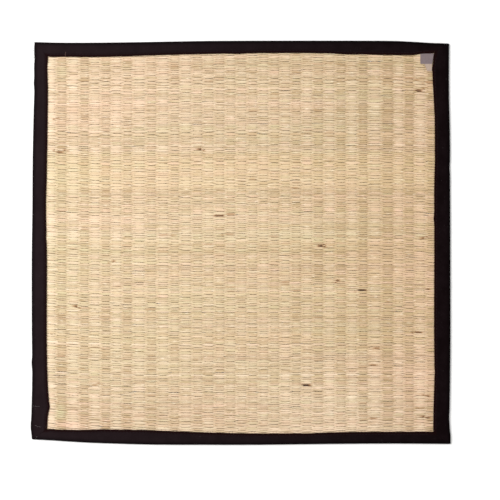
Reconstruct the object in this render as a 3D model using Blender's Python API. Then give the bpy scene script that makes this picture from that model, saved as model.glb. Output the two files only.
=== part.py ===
"""Flat mat of woven rush reeds, bound all round with folded cloth tape.

Blender 4.5, metres, +Z up. The mat lies on its underside. The origin is the middle of
its outline at floor level, +X runs along the reeds and +Y along the hidden warp strings.
"""

from bisect import bisect_right
from collections import namedtuple
from math import cos, pi, sin

import bmesh
import bpy

MM = 0.001

# Outline, in millimetres. Each row gives a place along one side, how far out from the
# middle of the mat the folded edge lies there, and the width of tape that shows on top.
Row = namedtuple("Row", "along edge band")
TOP_ROWS = [
    Row(-298, 290.0, 19.0),
    Row(-262, 289.0, 20.0),
    Row(-194, 289.2, 20.4),
    Row(-125, 290.2, 19.2),
    Row(-56, 291.4, 18.6),
    Row(14, 291.8, 17.8),
    Row(118, 291.9, 17.8),
    Row(187, 291.8, 19.6),
    Row(228, 291.4, 20.2),
    Row(250, 290.2, 17.6),
    Row(266, 289.0, 15.0),
    Row(301, 287.8, 14.0),
]
BOTTOM_ROWS = [
    Row(-302, 284.0, 14.2),
    Row(-281, 285.0, 15.0),
    Row(-229, 288.3, 17.8),
    Row(-186, 290.0, 20.0),
    Row(-125, 291.6, 20.2),
    Row(-56, 291.8, 17.9),
    Row(14, 291.9, 16.3),
    Row(83, 291.2, 15.8),
    Row(153, 290.4, 16.8),
    Row(222, 290.1, 16.8),
    Row(303, 290.6, 17.6),
]
LEFT_ROWS = [
    Row(-284, 302.0, 21.6),
    Row(-263, 303.0, 23.0),
    Row(-228, 302.1, 24.2),
    Row(-193, 301.4, 21.6),
    Row(-124, 302.0, 21.2),
    Row(-20, 302.1, 21.6),
    Row(50, 301.2, 19.3),
    Row(119, 300.8, 20.4),
    Row(188, 299.4, 20.1),
    Row(223, 298.4, 19.4),
    Row(268, 299.0, 18.6),
    Row(290, 298.2, 17.8),
]
RIGHT_ROWS = [
    Row(-291, 303.2, 24.8),
    Row(-258, 301.4, 23.4),
    Row(-193, 302.2, 22.5),
    Row(-124, 302.6, 23.3),
    Row(15, 302.4, 22.8),
    Row(84, 302.1, 22.7),
    Row(154, 302.0, 21.7),
    Row(188, 301.1, 21.2),
    Row(223, 300.5, 22.8),
    Row(256, 300.5, 23.8),
    Row(272, 300.6, 21.4),
    Row(288, 300.8, 20.6),
]

# Panel of reeds
CROWN_HEIGHT = 4.6 * MM
GROOVE_DEPTH = 0.7 * MM
SQUEEZED_LOW = 1.3 * MM
SQUEEZED_HIGH = 3.9 * MM
PANEL_INSIDE_FOLD = 3.2 * MM
SQUEEZE_PAST_TAPE = 0.9 * MM
FIELD_PAST_TAPE = 1.9 * MM
FIRST_GROOVE = -263.9 * MM
CROWN_SHOULDERS = (0.25, 0.75)
LENGTHWISE_STEPS = 12

# Woven columns from left to right, one for each warp string, in runs of even spacing in
# millimetres. The last one is cut off by the tape.
Run = namedtuple("Run", "columns pitch")
WARP_RUNS = [
    Run(3, 15.2),
    Run(4, 15.7),
    Run(7, 16.4),
    Run(5, 15.8),
    Run(7, 16.3),
    Run(2, 15.5),
    Run(2, 19.2),
    Run(2, 14.8),
    Run(1, 19.5),
]
END_PITCH = 16.0 * MM

# Tape
TAPE_HEIGHT = 5.2 * MM
CLOTH = 1.0 * MM
UNDERSIDE_NARROWER = 2.0 * MM
FOLD_STEPS = 6
TAPE_STEPS = 24
MITRE_GAP = 0.3 * MM
CORNER_PASSES = 4

# Label, in millimetres, corner by corner from its upper left one, with the narrow tail
LABEL_CORNERS = [
    (259.0, 273.2),
    (278.6, 273.2),
    (276.0, 258.0),
    (275.6, 247.8),
    (266.8, 248.2),
    (267.2, 257.4),
    (259.2, 257.2),
]
LABEL_LIFT = 0.3 * MM
LABEL_THICKNESS = 1.0 * MM

REED_COLOUR = (0.73, 0.55, 0.35)
TAPE_COLOUR = (0.012, 0.009, 0.011)
LABEL_COLOUR = (0.24, 0.19, 0.21)
SHARP_ANGLE = pi / 5

# A side's rows run along one axis, its edge lies outward on the other one, and two
# neighbours end it: each is named with the row that the two sides share a corner at.
Side = namedtuple("Side", "rows along_axis outward low_neighbour high_neighbour")
SIDES = {
    "top": Side(TOP_ROWS, 0, 1, ("left", -1), ("right", -1)),
    "bottom": Side(BOTTOM_ROWS, 0, -1, ("left", 0), ("right", 0)),
    "left": Side(LEFT_ROWS, 1, -1, ("bottom", 0), ("top", 0)),
    "right": Side(RIGHT_ROWS, 1, 1, ("bottom", -1), ("top", -1)),
}


def between(low, high, share):
    return low + (high - low) * share


def reading(side, column, along):
    """One column of a side's rows at any place along it, on a smooth curve."""
    rows = SIDES[side].rows
    places = [row.along * MM for row in rows]
    values = [getattr(row, column) * MM for row in rows]
    k = min(max(bisect_right(places, along) - 1, 0), len(rows) - 2)
    share = min(max((along - places[k]) / (places[k + 1] - places[k]), 0), 1)

    def slope(i):
        before = max(i - 1, 0)
        after = min(i + 1, len(rows) - 1)
        return (values[after] - values[before]) / (places[after] - places[before])

    length = places[k + 1] - places[k]
    start_pull = share * (1 - share) ** 2 * length * slope(k)
    end_pull = share**2 * (share - 1) * length * slope(k + 1)
    blend = share**2 * (3 - 2 * share)
    return between(values[k], values[k + 1], blend) + start_pull + end_pull


def outer_reach(side, along):
    return reading(side, "edge", along)


def inner_reach(side, along):
    return reading(side, "edge", along) - reading(side, "band", along)


def corner_of(side, end, reach):
    """Place along a side where its outer or inner edge meets its neighbour's."""
    neighbour, row = end
    own_along = SIDES[neighbour].rows[row].along * MM
    along = 0
    for _ in range(CORNER_PASSES):
        along = SIDES[neighbour].outward * reach(neighbour, own_along)
        own_along = SIDES[side].outward * reach(side, along)
    return along


def placed(side, along, outward, height):
    """A point of a side, given along it and outward from the middle of the mat."""
    point = [0, 0, height]
    point[SIDES[side].along_axis] = along
    point[1 - SIDES[side].along_axis] = SIDES[side].outward * outward
    return point


def tape_profile(width):
    """Cross-section of the folded tape as insets from the fold and heights."""
    middle = TAPE_HEIGHT / 2
    turns = [between(-pi / 2, pi / 2, k / FOLD_STEPS) for k in range(FOLD_STEPS + 1)]
    outside = [(middle - middle * cos(turn), middle + middle * sin(turn)) for turn in turns]
    hollow = middle - CLOTH
    inside = [(middle - hollow * cos(turn), middle + hollow * sin(turn)) for turn in turns]
    below = width - UNDERSIDE_NARROWER
    return (
        [(below, 0)]
        + outside
        + [(width, TAPE_HEIGHT), (width, TAPE_HEIGHT - CLOTH)]
        + inside[::-1]
        + [(below, CLOTH)]
    )


def finished(name, mesh_maker, material):
    """A scene object of a closed mesh, shaded smooth between its sharp edges."""
    bmesh.ops.recalc_face_normals(mesh_maker, faces=mesh_maker.faces)
    mesh = bpy.data.meshes.new(name)
    mesh_maker.to_mesh(mesh)
    mesh_maker.free()
    mesh.shade_smooth()
    mesh.set_sharp_from_angle(angle=SHARP_ANGLE)
    mesh.materials.append(material)
    piece = bpy.data.objects.new(name, mesh)
    bpy.context.scene.collection.objects.link(piece)
    return piece


def surface(name, colour, roughness):
    material = bpy.data.materials.new(name)
    material.use_nodes = True
    shader = material.node_tree.nodes["Principled BSDF"]
    shader.inputs["Base Color"].default_value = (*colour, 1)
    shader.inputs["Roughness"].default_value = roughness
    shader.inputs["Metallic"].default_value = 0
    return material


def make_tape(side, material):
    """One strip of tape folded over a side of the panel, mitred at both ends."""
    ends = SIDES[side].low_neighbour, SIDES[side].high_neighbour
    outer_low, outer_high = (corner_of(side, end, outer_reach) for end in ends)
    inner_low, inner_high = (corner_of(side, end, inner_reach) for end in ends)
    tape = bmesh.new()
    loops = []
    for k in range(TAPE_STEPS + 1):
        share = k / TAPE_STEPS
        outer_along = between(outer_low + MITRE_GAP, outer_high - MITRE_GAP, share)
        inner_along = between(inner_low + MITRE_GAP, inner_high - MITRE_GAP, share)
        outward = outer_reach(side, outer_along)
        width = outward - inner_reach(side, inner_along)
        loop = []
        for inset, height in tape_profile(width):
            along = between(outer_along, inner_along, inset / width)
            loop.append(tape.verts.new(placed(side, along, outward - inset, height)))
        loops.append(loop)
    count = len(loops[0])
    for near, far in zip(loops, loops[1:]):
        for k in range(count):
            after = (k + 1) % count
            tape.faces.new((near[k], near[after], far[after], far[k]))
    tape.faces.new(loops[0])
    tape.faces.new(loops[-1][::-1])
    return finished(f"binding_{side}", tape, material)


def column_lines():
    """Lines across the panel as (place, whether it runs on a crown)."""
    grooves = [FIRST_GROOVE - END_PITCH, FIRST_GROOVE]
    for run in WARP_RUNS:
        for _ in range(run.columns):
            grooves.append(grooves[-1] + run.pitch * MM)
    lines = []
    for left, right in zip(grooves, grooves[1:]):
        lines.append((left, False))
        lines += [(between(left, right, share), True) for share in CROWN_SHOULDERS]
    lines.append((grooves[-1], False))
    lines.append((grooves[-1] + CROWN_SHOULDERS[0] * END_PITCH, True))
    return lines[1:]


def border_lines(low_side, high_side):
    """The panel's lines that follow a pair of sides, as functions of the other axis."""
    reaches = [
        (lambda side, along: outer_reach(side, along) - PANEL_INSIDE_FOLD, "squeezed"),
        (lambda side, along: inner_reach(side, along) - SQUEEZE_PAST_TAPE, "squeezed"),
        (lambda side, along: inner_reach(side, along) - FIELD_PAST_TAPE, "groove"),
    ]
    low = [(lambda along, reach=reach: -reach(low_side, along), kind) for reach, kind in reaches]
    high = [(lambda along, reach=reach: reach(high_side, along), kind) for reach, kind in reaches]
    return low, high[::-1]


def make_panel(material):
    """The woven panel: upright ribs above and below, squeezed thin inside the tape."""
    left, right = border_lines("left", "right")
    ribs = [
        (lambda along, place=place: place, "crown" if crown else "groove")
        for place, crown in column_lines()
    ]
    columns = left + ribs + right
    bottom, top = border_lines("bottom", "top")
    field_low = bottom[-1][0](0)
    field_high = top[0][0](0)
    inner_rows = [
        (lambda along, place=between(field_low, field_high, k / LENGTHWISE_STEPS): place, "open")
        for k in range(1, LENGTHWISE_STEPS)
    ]
    rows = bottom + inner_rows + top
    panel = bmesh.new()
    above, below = [], []
    for column_at, column_kind in columns:
        upper, lower = [], []
        for row_at, row_kind in rows:
            x = column_at(row_at(0))
            y = row_at(column_at(0))
            low, high = panel_heights(column_kind, row_kind)
            upper.append(panel.verts.new((x, y, high)))
            lower.append(panel.verts.new((x, y, low)))
        above.append(upper)
        below.append(lower)
    last_column = len(columns) - 1
    last_row = len(rows) - 1
    for i in range(last_column):
        for j in range(last_row):
            for sheet in (above, below):
                corners = (sheet[i][j], sheet[i + 1][j], sheet[i + 1][j + 1], sheet[i][j + 1])
                panel.faces.new(corners)
    rim = [(i, 0) for i in range(last_column)]
    rim += [(last_column, j) for j in range(last_row)]
    rim += [(i, last_row) for i in range(last_column, 0, -1)]
    rim += [(0, j) for j in range(last_row, 0, -1)]
    for (i, j), (m, n) in zip(rim, rim[1:] + rim[:1]):
        panel.faces.new((above[i][j], above[m][n], below[m][n], below[i][j]))
    return finished("reed_panel", panel, material)


def panel_heights(column_kind, row_kind):
    """Lowest and highest point of the panel where a column line crosses a row line."""
    if "squeezed" in (column_kind, row_kind):
        return SQUEEZED_LOW, SQUEEZED_HIGH
    if column_kind == "crown":
        return 0, CROWN_HEIGHT
    return GROOVE_DEPTH, CROWN_HEIGHT - GROOVE_DEPTH


def make_label(material):
    """The blank label with its tail, lying on the ribs."""
    label = bmesh.new()
    floor = CROWN_HEIGHT + LABEL_LIFT
    corners = [label.verts.new((x * MM, y * MM, floor)) for x, y in LABEL_CORNERS]
    underside = label.faces.new(corners)
    raised = bmesh.ops.extrude_face_region(label, geom=[underside], use_keep_orig=True)
    moved = [item for item in raised["geom"] if isinstance(item, bmesh.types.BMVert)]
    bmesh.ops.translate(label, verts=moved, vec=(0, 0, LABEL_THICKNESS))
    return finished("label", label, material)


for old in list(bpy.data.objects):
    bpy.data.objects.remove(old)

make_panel(surface("reeds", REED_COLOUR, 0.6))
tape_cloth = surface("tape_cloth", TAPE_COLOUR, 0.85)
for side_name in SIDES:
    make_tape(side_name, tape_cloth)
make_label(surface("label_cloth", LABEL_COLOUR, 0.8))
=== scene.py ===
"""A floor mat of woven rush with a black cloth binding, seen from straight above."""

from collections import namedtuple
from math import cos, pi, sin

import bpy
import numpy as np
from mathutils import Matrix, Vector, noise


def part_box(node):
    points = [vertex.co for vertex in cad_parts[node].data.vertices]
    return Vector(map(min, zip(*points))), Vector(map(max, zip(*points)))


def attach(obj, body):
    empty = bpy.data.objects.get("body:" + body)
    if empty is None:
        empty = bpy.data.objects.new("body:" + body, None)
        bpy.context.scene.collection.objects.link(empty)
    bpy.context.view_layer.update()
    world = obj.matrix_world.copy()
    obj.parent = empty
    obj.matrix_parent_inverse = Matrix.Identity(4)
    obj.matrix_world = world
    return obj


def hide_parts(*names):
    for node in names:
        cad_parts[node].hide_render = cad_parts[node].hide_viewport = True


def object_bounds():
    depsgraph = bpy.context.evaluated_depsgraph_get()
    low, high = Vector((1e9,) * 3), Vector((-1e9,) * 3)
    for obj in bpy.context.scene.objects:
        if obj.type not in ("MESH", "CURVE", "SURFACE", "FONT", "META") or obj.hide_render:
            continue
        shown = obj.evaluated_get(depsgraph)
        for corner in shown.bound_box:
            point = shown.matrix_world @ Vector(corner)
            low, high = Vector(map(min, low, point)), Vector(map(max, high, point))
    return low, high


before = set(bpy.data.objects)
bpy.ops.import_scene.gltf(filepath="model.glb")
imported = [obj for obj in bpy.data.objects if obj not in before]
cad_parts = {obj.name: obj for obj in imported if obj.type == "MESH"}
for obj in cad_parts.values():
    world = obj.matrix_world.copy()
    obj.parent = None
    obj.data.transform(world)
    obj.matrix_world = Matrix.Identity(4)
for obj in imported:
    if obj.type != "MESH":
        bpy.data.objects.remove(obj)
cad_low, cad_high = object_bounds()
MM = 0.001


# The view: a long lens looks straight down, so the sides hardly converge. The mat lies a
# little up and to the left of the picture's middle, on a pale floor, in soft light that
# comes more from the left than from the right.
PICTURE_SIDE = 500
PIXEL = 1.4426 * MM
MAT_MIDDLE_PIXEL = (240.85, 242.75)
CAMERA_HEIGHT = 2.6
SENSOR = 36
FLOOR_SIDE = 12.0
FLOOR_COLOUR = (0.9, 0.9, 0.895)
FLOOR_ROUGHNESS = 0.9
Lamp = namedtuple("Lamp", "name place side power colour")
LAMPS = [
    Lamp("left_softbox", (-1.0, 0.35, 1.8), 1.2, 42.0, (1.0, 0.99, 0.98)),
    Lamp("right_softbox", (1.1, -0.4, 2.2), 1.4, 4.0, (1.0, 0.98, 0.95)),
]
ROOM_LIGHT = 0.64


def put_camera():
    lens = bpy.data.cameras.new("overhead")
    lens.sensor_width = SENSOR
    lens.lens = SENSOR * CAMERA_HEIGHT / (PICTURE_SIDE * PIXEL)
    camera = bpy.data.objects.new("overhead", lens)
    middle = PICTURE_SIDE / 2
    right = (middle - MAT_MIDDLE_PIXEL[0]) * PIXEL
    down = (middle - MAT_MIDDLE_PIXEL[1]) * PIXEL
    camera.location = (right, -down, cad_high.z + CAMERA_HEIGHT)
    bpy.context.scene.collection.objects.link(camera)
    bpy.context.scene.camera = camera


def put_lamp(lamp):
    light = bpy.data.lights.new(lamp.name, "AREA")
    light.size = lamp.side
    light.energy = lamp.power
    light.color = lamp.colour
    holder = bpy.data.objects.new(lamp.name, light)
    holder.location = lamp.place
    holder.rotation_euler = Vector(lamp.place).to_track_quat("Z", "Y").to_euler()
    bpy.context.scene.collection.objects.link(holder)


def put_floor():
    half = FLOOR_SIDE / 2
    mesh = bpy.data.meshes.new("floor")
    corners = [(-half, -half, 0), (half, -half, 0), (half, half, 0), (-half, half, 0)]
    mesh.from_pydata(corners, [], [(0, 1, 2, 3)])
    paint = bpy.data.materials.new("floor_paint")
    paint.use_nodes = True
    shader = paint.node_tree.nodes["Principled BSDF"]
    shader.inputs["Base Color"].default_value = (*FLOOR_COLOUR, 1)
    shader.inputs["Roughness"].default_value = FLOOR_ROUGHNESS
    mesh.materials.append(paint)
    floor = bpy.data.objects.new("floor", mesh)
    bpy.context.scene.collection.objects.link(floor)


def light_room():
    world = bpy.data.worlds.new("room")
    world.use_nodes = True
    sky = world.node_tree.nodes["Background"]
    sky.inputs["Color"].default_value = (1, 1, 1, 1)
    sky.inputs["Strength"].default_value = ROOM_LIGHT
    bpy.context.scene.world = world
    bpy.context.scene.view_settings.view_transform = "Standard"


put_camera()
put_floor()
light_room()
for lamp in LAMPS:
    put_lamp(lamp)


# The outline: the four tapes of the frame give the mat's folded outer edge and the inner
# edge of the cloth on top. Everything below follows these two lines on each side.
Side = namedtuple("Side", "name axis outward")
SIDES = [Side("top", 0, 1), Side("bottom", 0, -1), Side("left", 1, -1), Side("right", 1, 1)]
TAPE_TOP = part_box("binding_top")[1].z
NARROWEST_TAPE = 10 * MM
SAME_SECTION = 3 * MM
SAME_LEVEL = 0.02 * MM


def edge_lines(side):
    """The tape's outer and inner edge, each as places along the side and reaches outward."""
    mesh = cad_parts[f"binding_{side.name}"].data
    points = np.array([vertex.co for vertex in mesh.vertices], float)
    points = points[np.argsort(points[:, side.axis])]
    along = points[:, side.axis]
    outward = points[:, 1 - side.axis] * side.outward
    level = points[:, 2]
    outer = np.abs(level - TAPE_TOP / 2) < SAME_LEVEL
    for k in np.flatnonzero(outer):
        near = outer & (np.abs(along - along[k]) < SAME_SECTION)
        outer[k] = outward[k] >= outward[near].max() - SAME_LEVEL
    outer_line = along[outer], outward[outer]
    well_in = outward < np.interp(along, *outer_line) - NARROWEST_TAPE
    inner = well_in & (np.abs(level - TAPE_TOP) < SAME_LEVEL)
    return outer_line, (along[inner], outward[inner])


EDGES = {side.name: edge_lines(side) for side in SIDES}
HEM_OVERHANG = 0.45 * MM
Wave = namedtuple("Wave", "side place width height")

# Small waves of the edges, chosen by hand where a scratch script found an edge off the photo's
OUTER_WAVES = [
    Wave("left", -267, 9, 0.9),
    Wave("left", -174, 7, 0.8),
    Wave("left", 230, 6, 0.6),
    Wave("left", 265, 7, -0.9),
    Wave("right", -278, 5, 0.5),
    Wave("right", -253, 8, -0.6),
    Wave("right", 108, 8, -0.6),
]
INNER_WAVES = [
    Wave("top", 248, 9, 1.4),
    Wave("top", 151, 20, 0.9),
    Wave("top", -4, 12, 0.8),
    Wave("top", -272, 8, 0.9),
    Wave("bottom", 98, 12, -0.5),
    Wave("bottom", -141, 8, 0.6),
    Wave("bottom", -202, 6, 0.6),
    Wave("bottom", -274, 7, 0.9),
    Wave("left", -237, 7, 2.1),
    Wave("left", 7, 5, -0.5),
    Wave("left", 90, 14, 0.4),
    Wave("left", 266, 8, 1.4),
    Wave("right", -188, 6, -0.6),
    Wave("right", 35, 6, 0.9),
    Wave("right", 116, 22, -0.6),
]


def outer_reach(side, along):
    """The tape's folded edge, with the small waves that its solid doesn't have."""
    return np.interp(along, *EDGES[side.name][0]) + waves(OUTER_WAVES, side, along)


def inner_reach(side, along):
    """The tape's sewn edge, which lies a little over the reeds."""
    line = np.interp(along, *EDGES[side.name][1])
    return line - HEM_OVERHANG - waves(INNER_WAVES, side, along)


def waves(table, side, along):
    """How far the waves of one side widen its tape, at each place along it."""
    total = 0 * np.asarray(along, float)
    for wave in table:
        if wave.side == side.name:
            away = (along - wave.place * MM) / (wave.width * MM)
            total += wave.height * MM * np.exp(-away ** 2)
    return total


def smoothly(value):
    """0 below 0, 1 above 1 and an even curve between."""
    value = np.clip(value, 0, 1)
    return value * value * (3 - 2 * value)


def rippled(points, scale, seed):
    """Smooth noise from about -1 to 1 at each point, in features of the given size."""
    shift = Vector((seed * 7.31, seed * 3.17, seed * 1.93))
    return np.array([noise.noise(Vector(point) / scale + shift) for point in points])


class Finish:
    """A material in the making: its Principled shader, and nodes added to it."""

    def __init__(self, name, roughness):
        self.material = bpy.data.materials.new(name)
        self.material.use_nodes = True
        self.nodes = self.material.node_tree.nodes
        self.links = self.material.node_tree.links
        self.shader = self.nodes["Principled BSDF"]
        self.shader.inputs["Roughness"].default_value = roughness

    def plug(self, socket, value):
        if isinstance(value, Reading):
            self.links.new(value.socket, socket)
        else:
            socket.default_value = value

    def node(self, kind, settings=None, sockets=None, output=0):
        """Adds a node: its settings first, then its sockets' values or links."""
        made = self.nodes.new(kind)
        for name, value in (settings or {}).items():
            setattr(made, name, value)
        for name, value in (sockets or {}).items():
            self.plug(made.inputs[name], value)
        return Reading(self, made.outputs[output])

    def grain(self, places, scale, detail=2.0, roughness=0.5):
        """Noise from 0 to 1 over the piece, stretched by a scale for each axis."""
        sockets = {0: places, 1: scale}
        stretched = self.node("ShaderNodeVectorMath", {"operation": "MULTIPLY"}, sockets)
        sockets = {"Vector": stretched, "Scale": 1.0, "Detail": detail, "Roughness": roughness}
        return self.node("ShaderNodeTexNoise", None, sockets)

    def attribute(self, name):
        return self.node("ShaderNodeAttribute", {"attribute_name": name}, None, "Fac")

    def mix(self, share, first, second):
        sockets = {0: share, 6: first, 7: second}
        return self.node("ShaderNodeMix", {"data_type": "RGBA"}, sockets, 2)

    def bump(self, height, strength, distance):
        sockets = {"Height": height, "Strength": strength, "Distance": distance}
        self.feed("Normal", self.node("ShaderNodeBump", None, sockets))

    def feed(self, name, value):
        self.plug(self.shader.inputs[name], value)


class Reading:
    """A shader socket that can be used in sums; each operator adds its Math node."""

    def __init__(self, finish, socket):
        self.finish = finish
        self.socket = socket

    def maths(self, operation, first, second, clamped=False):
        settings = {"operation": operation, "use_clamp": clamped}
        return self.finish.node("ShaderNodeMath", settings, {0: first, 1: second})

    def __add__(self, other):
        return self.maths("ADD", self, other)

    __radd__ = __add__

    def __sub__(self, other):
        return self.maths("SUBTRACT", self, other)

    def __mul__(self, other):
        return self.maths("MULTIPLY", self, other)

    __rmul__ = __mul__

    def above(self, level, width):
        """0 below level - width, 1 above level + width."""
        return self.maths("MULTIPLY", self - (level - width), 0.5 / width, True)

    def clamped(self):
        return self.maths("ADD", self, 0.0, True)


# The weave: nearly four hundred flattened rush stalks run across the mat. Each goes over the
# strings of one column and under those of the next, and its neighbours do the opposite, so
# the over-stalks lie like bricks. Their butt ends are left and right in turn, and they taper.
WARP_START = -279.9 * MM
Run = namedtuple("Run", "columns pitch")

# Column widths, changed by hand until a scratch script found the columns on the photo's
WARP_RUNS = [
    Run(1, 13.3),
    Run(1, 16.3),
    Run(1, 16.9),
    Run(5, 15.5),
    Run(1, 19.0),
    Run(1, 16.2),
    Run(1, 17.7),
    Run(1, 15.4),
    Run(1, 17.2),
    Run(2, 16.2),
    Run(6, 15.8),
    Run(3, 15.7),
    Run(3, 16.4),
    Run(2, 15.7),
    Run(2, 18.6),
    Run(1, 13.7),
    Run(4, 16.0),
]
REED_SPACING = 1.5 * MM
REED_THICK = 0.48 * MM
OVER_FILL = 1.13
UNDER_FILL = 0.58
CROSSING_FILL = 1.15
BUTT_WIDER = 0.06
WIDTH_VARIES = 0.13
CROSSING_THICKER = 0.12
SQUEEZED_THICKNESS = 0.62
SWING = 0.44 * MM
SQUEEZED_SWING = 0.4
LEAST_SWING = 0.86
WEAVE_MIDDLE = 3.0 * MM
UNEVEN = 0.75
STALK_TILT = 0.05
WOBBLE = 0.6 * MM
WOBBLE_SIZE = 5 * MM
WOBBLE_STRETCH = 2
COLUMN_SHIFT = 0.1 * MM
OPENING_WIDTH = 2.5 * MM
OPENING_LATE = 0.1
PANEL_INSET = 3.4 * MM
REED_ENDS = (-294.5 * MM, 296.0 * MM)
COLUMN_STEPS = (0.0, 0.24, 0.5, 0.76)
COLUMN_LIFTS = (0.0, 0.82, 1.0, 0.82)
CROSSING_LIFT = 0.4
CROSSING_WANDER = 1.1 * MM
CROSSING_WANDER_LIMIT = 2.5 * MM
REED_SIDES = 6
BANDS = 5
STALK_TONE = 0.35
STALK_TONE_VARIES = 0.08
COLUMN_TONE_VARIES = 0.05
BUTT_PALER = 0.14
# Painted shade: the stalks' tone darkens toward the right, where less of the left lamp's light
# falls.
RIGHT_PAINTED_SHADE = 0.28
BUTT_DARKENS_LESS = 0.25
# Painted shade: under-stalks are darker where they dip below their neighbours.
UNDER_PAINTED_SHADE = 0.15
PATCHY = 0.05
PATCH_LENGTH = 15 * MM
PATCH_SPACING = 40 * MM
# Partly real stains, partly painted shade: dark marks on the stalks' lower edges stand for the
# shadowed gaps between stalks.
STAIN_AND_GAP_SHADE_CHANCE = 0.09
STAIN_AND_GAP_SHADE_DEPTHS = (0.1, 0.55)
STAIN_AND_GAP_SHADE_SIDES = (1.0, 0.5, 0.0, 0.0, 0.0, 0.5)
MARKED_SIDES = (1.0, 1.0, 0.85, 0.1, 0.0, 0.5)
MARK_AT_MIDDLE = 2.2
MARK_FADES = 1.5
YELLOW_VARIES = 0.3
PINK_VARIES = 0.25
RIGHT_YELLOWER = 0.5
Yellowing = namedtuple("Yellowing", "y depth")

# Yellower heights and soft patches, changed by hand until a scratch script found that areas
# of the render had about the photo's mean colours
YELLOWED = [
    Yellowing(-270, -0.6),
    Yellowing(-225, -0.3),
    Yellowing(-150, 0.2),
    Yellowing(70, 0.2),
    Yellowing(82, 0.8),
    Yellowing(124, 0.8),
    Yellowing(132, -0.2),
]
Blush = namedtuple("Blush", "x y width height depth")
PINKER = [
    Blush(150, -215, 70, 50, 0.35),
    Blush(-150, 200, 110, 75, 0.35),
    Blush(-270, 20, 50, 130, -0.55),
    Blush(60, -60, 110, 160, -0.3),
    Blush(250, -20, 60, 330, 0.45),
    Blush(280, -250, 70, 80, 0.7),
    Blush(-240, -260, 110, 60, 0.3),
    Blush(100, -270, 80, 50, -0.4),
    Blush(-261, -250, 8, 15, -2.2),
    Blush(-250, -266, 24, 4, 1.8),
    Blush(-258, 245, 8, 9, -1.0),
    Blush(276, 240, 7, 6, -1.3),
]
PALER = [
    Blush(-277, 0, 6, 400, 0.16),
    Blush(0, 267, 500, 22, -0.06),
    Blush(0, -257, 500, 10, -0.1),
    Blush(0, -267, 500, 4, 0.12),
    Blush(250, -30, 60, 120, -0.14),
    Blush(140, -245, 110, 60, 0.2),
    Blush(165, 0, 90, 90, -0.06),
    Blush(-200, -260, 120, 60, -0.05),
]
Blemish = namedtuple("Blemish", "x y length depth")

# Dark marks. These numbers come from another program: a scratch script found the marks in the
# photo, and its places and lengths were copied here and rounded to whole millimetres.
BLEMISHES = [
    Blemish(93, -205, 13, 1.0),
    Blemish(174, -69, 14, 0.95),
    Blemish(-31, 40, 15, 0.8),
    Blemish(-14, 40, 14, 0.45),
    Blemish(251, 237, 26, 0.4),
    Blemish(254, -130, 15, 0.75),
    Blemish(117, -4, 10, 0.95),
    Blemish(-106, 11, 22, 0.4),
    Blemish(267, -252, 13, 0.75),
    Blemish(-19, 12, 18, 0.4),
    Blemish(78, 78, 11, 0.45),
    Blemish(-237, -92, 9, 0.8),
    Blemish(-207, -204, 14, 0.45),
    Blemish(190, -254, 11, 0.55),
    Blemish(265, 7, 10, 0.7),
    Blemish(80, -69, 12, 0.4),
    Blemish(-266, 133, 8, 0.7),
    Blemish(-255, 133, 10, 0.55),
    Blemish(64, -56, 11, 0.45),
    Blemish(140, -56, 8, 0.75),
    Blemish(258, -239, 11, 0.45),
    Blemish(268, -220, 10, 0.6),
    Blemish(269, -67, 8, 0.75),
    Blemish(217, -86, 9, 0.75),
    Blemish(191, -176, 9, 0.55),
    Blemish(197, -153, 10, 0.55),
    Blemish(-267, 180, 8, 0.6),
    Blemish(-58, 134, 8, 0.85),
    Blemish(-186, -28, 9, 0.6),
    Blemish(256, 221, 8, 0.8),
    Blemish(265, 224, 8, 0.6),
    Blemish(270, 232, 18, 0.4),
]
draw = np.random.default_rng(11)


def warp_lines():
    """The lines between the woven columns, where the stalks cross, from left to right."""
    lines = [WARP_START - WARP_RUNS[0].pitch * MM, WARP_START]
    for run in WARP_RUNS:
        for _ in range(run.columns):
            lines.append(lines[-1] + run.pitch * MM)
    return np.array(lines)


WARP_LINES = warp_lines()


def reed_rows():
    """Where each stalk lies between the bottom and top edges, as shares of the way up."""
    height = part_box("reed_panel")[1].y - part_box("reed_panel")[0].y
    count = int(height / REED_SPACING)
    gaps = draw.uniform(1 - UNEVEN, 1 + UNEVEN, count)
    places = np.cumsum(gaps)
    return (places - places[0]) / (places[-1] - places[0])


def reed_stations():
    """Places along a stalk, each with its column's number and how far over or under it is."""
    places, columns, lifts = [], [], []
    for k, (left, right) in enumerate(zip(WARP_LINES, WARP_LINES[1:])):
        for step, lift in zip(COLUMN_STEPS, COLUMN_LIFTS):
            place = left + (right - left) * step
            if REED_ENDS[0] < place < REED_ENDS[1]:
                places.append(place)
                columns.append(k)
                lifts.append(lift)
    return np.array(places), np.array(columns), np.array(lifts)


def row_line(share, places):
    """The y of a stalk along its length: the stalks near an edge follow that edge."""
    top = outer_reach(SIDES[0], places) - PANEL_INSET
    bottom = -outer_reach(SIDES[1], places) + PANEL_INSET
    return bottom + (top - bottom) * share


def open_share(x, y):
    """1 in the open field and 0 under the tape, at each point."""
    past = [
        inner_reach(SIDES[0], x) - y,
        inner_reach(SIDES[1], x) + y,
        inner_reach(SIDES[2], y) + x,
        inner_reach(SIDES[3], y) - x,
    ]
    return smoothly(np.min(past, axis=0) / OPENING_WIDTH - OPENING_LATE)


def blushes(table, x, y):
    """The sum of a table's soft patches, at each x and the one y."""
    total = 0 * x
    for blush in table:
        x_gap = (x / MM - blush.x) / blush.width
        y_gap = (y / MM - blush.y) / blush.height
        total += blush.depth * np.exp(-x_gap ** 2 - y_gap ** 2)
    return total


def half_gaps(rows, number, apart):
    """Half the way from a stalk to the stalks that many rows below it and above it."""
    height = len(rows) * REED_SPACING
    least = REED_SPACING / 4
    below = (rows[number] - rows[max(number - apart, 0)]) / 2 * height
    above = (rows[min(number + apart, len(rows) - 1)] - rows[number]) / 2 * height
    return max(below, least), max(above, least)


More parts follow.
